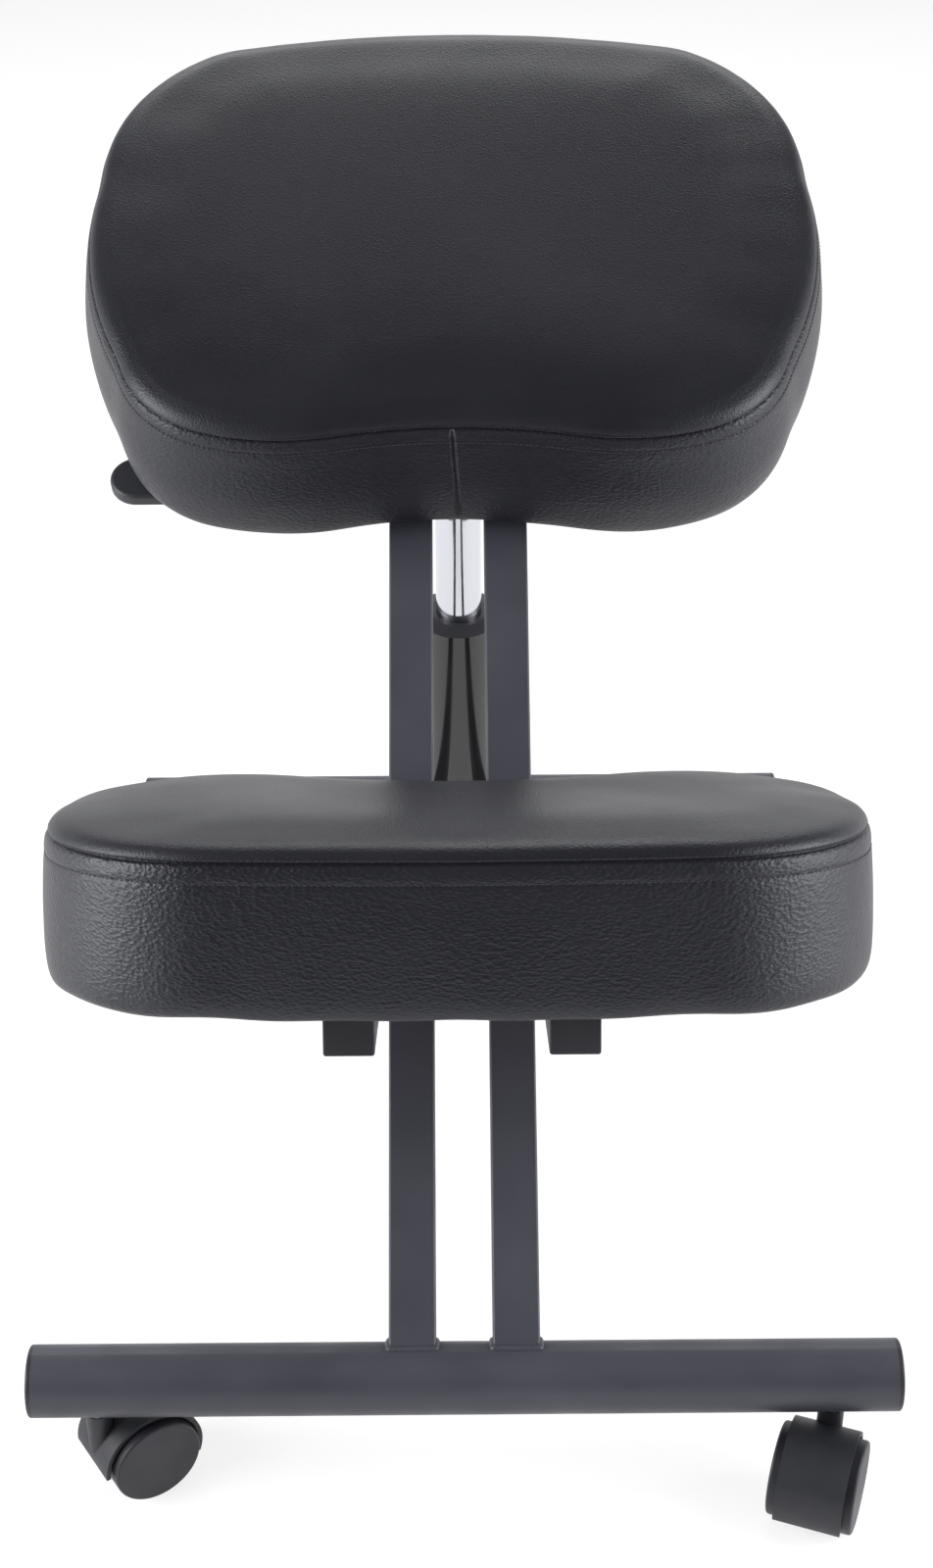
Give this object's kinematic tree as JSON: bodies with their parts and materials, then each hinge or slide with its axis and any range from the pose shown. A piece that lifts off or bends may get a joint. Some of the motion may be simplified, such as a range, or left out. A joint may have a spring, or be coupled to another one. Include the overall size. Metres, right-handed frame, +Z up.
{
  "type": "kneeling chair",
  "caption": "Kneeling chair with crossed square-tube frames, gas-lift height adjustment, padded seat, knee pad and twin-wheel casters.",
  "frame": {"origin": "on the floor below the middle of the chair, half way between the two cross tubes", "axes": "+Z up, +Y from the knee pad towards the seat's back, +X to the right seen from the knee side; the release lever is on -X"},
  "size_m": [0.46, 0.692, 0.6283],
  "materials": {
    "black_powder_coat": "satin black powder coat with a fine texture",
    "black_gloss_steel": "gloss black enamel",
    "chrome_steel": "polished chrome",
    "machined_steel": "turned steel",
    "zinc_steel": "zinc plated",
    "black_leatherette": "pebbled black leatherette with sewn seams",
    "black_plastic": "moulded, lightly textured",
    "caster_nylon": "moulded black nylon",
    "plywood": "raw plywood"
  },
  "bodies": {
    "knee_frame": {"rear_cross_tube": "black_powder_coat", "rear_tube_caps": "black_plastic", "rear_caster_sockets": "black_powder_coat", "rear_caster_stems": "zinc_steel", "knee_arm_left": "black_powder_coat", "knee_arm_right": "black_powder_coat", "knee_arm_plugs": "black_plastic", "frame_bolts": "zinc_steel", "frame_nuts": "zinc_steel", "frame_washers": "zinc_steel", "lift_foot_spacers": "black_powder_coat", "knee_pad_cushion": "black_leatherette", "knee_pad_board": "plywood", "knee_pad_bolts": "zinc_steel", "knee_pad_board_inserts": "zinc_steel"},
    "seat_frame": {"front_cross_tube": "black_powder_coat", "front_tube_caps": "black_plastic", "front_caster_sockets": "black_powder_coat", "front_caster_stems": "zinc_steel", "seat_arm_left": "black_powder_coat", "seat_arm_right": "black_powder_coat", "pivot_bushes": "black_plastic", "pivot_spacer": "black_powder_coat", "lift_trunnion_bolts": "zinc_steel", "seat_bracket_left": "black_powder_coat", "seat_bracket_right": "black_powder_coat", "seat_cushion": "black_leatherette", "seat_board": "plywood", "seat_bolts": "zinc_steel", "seat_board_inserts": "zinc_steel", "release_lever_ears": "black_powder_coat", "release_lever_pin": "zinc_steel"},
    "lift_tube": {"lift_outer_tube": "black_gloss_steel", "lift_foot_eye": "black_powder_coat", "lift_guide_bush": "black_plastic", "lift_piston_rod": "machined_steel"},
    "lift_cylinder": {"lift_cylinder": "chrome_steel", "lift_gland": "chrome_steel", "lift_head": "machined_steel"},
    "release_valve": {"release_valve_pin": "machined_steel"},
    "release_lever": {"release_lever_rod": "black_powder_coat", "release_lever_paddle": "black_plastic"},
    "front_left_caster": {"front_left_caster_hood": "caster_nylon", "front_left_caster_axle": "zinc_steel"},
    "front_left_wheel_a": {"front_left_caster_wheel_a": "caster_nylon"},
    "front_left_wheel_b": {"front_left_caster_wheel_b": "caster_nylon"},
    "front_right_caster": {"front_right_caster_hood": "caster_nylon", "front_right_caster_axle": "zinc_steel"},
    "front_right_wheel_a": {"front_right_caster_wheel_a": "caster_nylon"},
    "front_right_wheel_b": {"front_right_caster_wheel_b": "caster_nylon"},
    "rear_left_caster": {"rear_left_caster_hood": "caster_nylon", "rear_left_caster_axle": "zinc_steel"},
    "rear_left_wheel_a": {"rear_left_caster_wheel_a": "caster_nylon"},
    "rear_left_wheel_b": {"rear_left_caster_wheel_b": "caster_nylon"},
    "rear_right_caster": {"rear_right_caster_hood": "caster_nylon", "rear_right_caster_axle": "zinc_steel"},
    "rear_right_wheel_a": {"rear_right_caster_wheel_a": "caster_nylon"},
    "rear_right_wheel_b": {"rear_right_caster_wheel_b": "caster_nylon"}
  },
  "joints": [
    {"name": "frame_scissor", "type": "hinge", "parent": "knee_frame", "child": "seat_frame", "pos_m": [0, -0.10931, 0.23931], "axis": [1, 0, 0], "range_deg": [-16, 0]},
    {"name": "lift_tube_tilt", "type": "hinge", "parent": "knee_frame", "child": "lift_tube", "pos_m": [0, 0.14567, 0.13629], "axis": [1, 0, 0], "range_deg": [-8, 0]},
    {"name": "lift_cylinder_slide", "type": "slide", "parent": "lift_tube", "child": "lift_cylinder", "axis": [0, -0.1754, 0.9845], "range_m": [-0.0676, 0]},
    {"name": "release_lever_lift", "type": "hinge", "parent": "seat_frame", "child": "release_lever", "pos_m": [-0.053, 0.0916, 0.43639], "axis": [0, 0.9063, 0.4226], "range_deg": [0, 3], "stiffness_Nm_per_rad": 3, "springref_deg": -3.44},
    {"name": "release_valve_press", "type": "slide", "parent": "lift_cylinder", "child": "release_valve", "axis": [0, 0.1754, -0.9845], "range_m": [0, 0.0028], "stiffness_N_per_m": 400, "springref_m": -0.0005},
    {"name": "front_left_caster_swivel", "type": "hinge", "parent": "seat_frame", "child": "front_left_caster", "pos_m": [-0.196, -0.285, 0], "axis": [0, 0, 1], "continuous": true},
    {"name": "front_left_wheel_a_roll", "type": "hinge", "parent": "front_left_caster", "child": "front_left_wheel_a", "pos_m": [-0.17755, -0.27302, 0.025], "axis": [-0.5446, 0.8387, 0], "continuous": true},
    {"name": "front_left_wheel_b_roll", "type": "hinge", "parent": "front_left_caster", "child": "front_left_wheel_b", "pos_m": [-0.17755, -0.27302, 0.025], "axis": [-0.5446, 0.8387, 0], "continuous": true},
    {"name": "front_right_caster_swivel", "type": "hinge", "parent": "seat_frame", "child": "front_right_caster", "pos_m": [0.196, -0.285, 0], "axis": [0, 0, 1], "continuous": true},
    {"name": "front_right_wheel_a_roll", "type": "hinge", "parent": "front_right_caster", "child": "front_right_wheel_a", "pos_m": [0.18848, -0.30567, 0.025], "axis": [0.9397, -0.342, 0], "continuous": true},
    {"name": "front_right_wheel_b_roll", "type": "hinge", "parent": "front_right_caster", "child": "front_right_wheel_b", "pos_m": [0.18848, -0.30567, 0.025], "axis": [0.9397, -0.342, 0], "continuous": true},
    {"name": "rear_left_caster_swivel", "type": "hinge", "parent": "knee_frame", "child": "rear_left_caster", "pos_m": [-0.196, 0.285, 0], "axis": [0, 0, 1], "continuous": true},
    {"name": "rear_left_wheel_a_roll", "type": "hinge", "parent": "rear_left_caster", "child": "rear_left_wheel_a", "pos_m": [-0.18848, 0.30567, 0.025], "axis": [-0.9397, 0.342, 0], "continuous": true},
    {"name": "rear_left_wheel_b_roll", "type": "hinge", "parent": "rear_left_caster", "child": "rear_left_wheel_b", "pos_m": [-0.18848, 0.30567, 0.025], "axis": [-0.9397, 0.342, 0], "continuous": true},
    {"name": "rear_right_caster_swivel", "type": "hinge", "parent": "knee_frame", "child": "rear_right_caster", "pos_m": [0.196, 0.285, 0], "axis": [0, 0, 1], "continuous": true},
    {"name": "rear_right_wheel_a_roll", "type": "hinge", "parent": "rear_right_caster", "child": "rear_right_wheel_a", "pos_m": [0.19332, 0.30684, 0.025], "axis": [-0.9925, -0.1219, 0], "continuous": true},
    {"name": "rear_right_wheel_b_roll", "type": "hinge", "parent": "rear_right_caster", "child": "rear_right_wheel_b", "pos_m": [0.19332, 0.30684, 0.025], "axis": [-0.9925, -0.1219, 0], "continuous": true}
  ],
  "couplings": [
    {"joint": "lift_tube_tilt", "follows": "frame_scissor", "ratio": 0.5},
    {"joint": "lift_cylinder_slide", "follows": "frame_scissor", "m_per_rad": 0.2413},
    {"joint": "release_valve_press", "follows": "release_lever_lift", "m_per_rad": 0.0525}
  ]
}
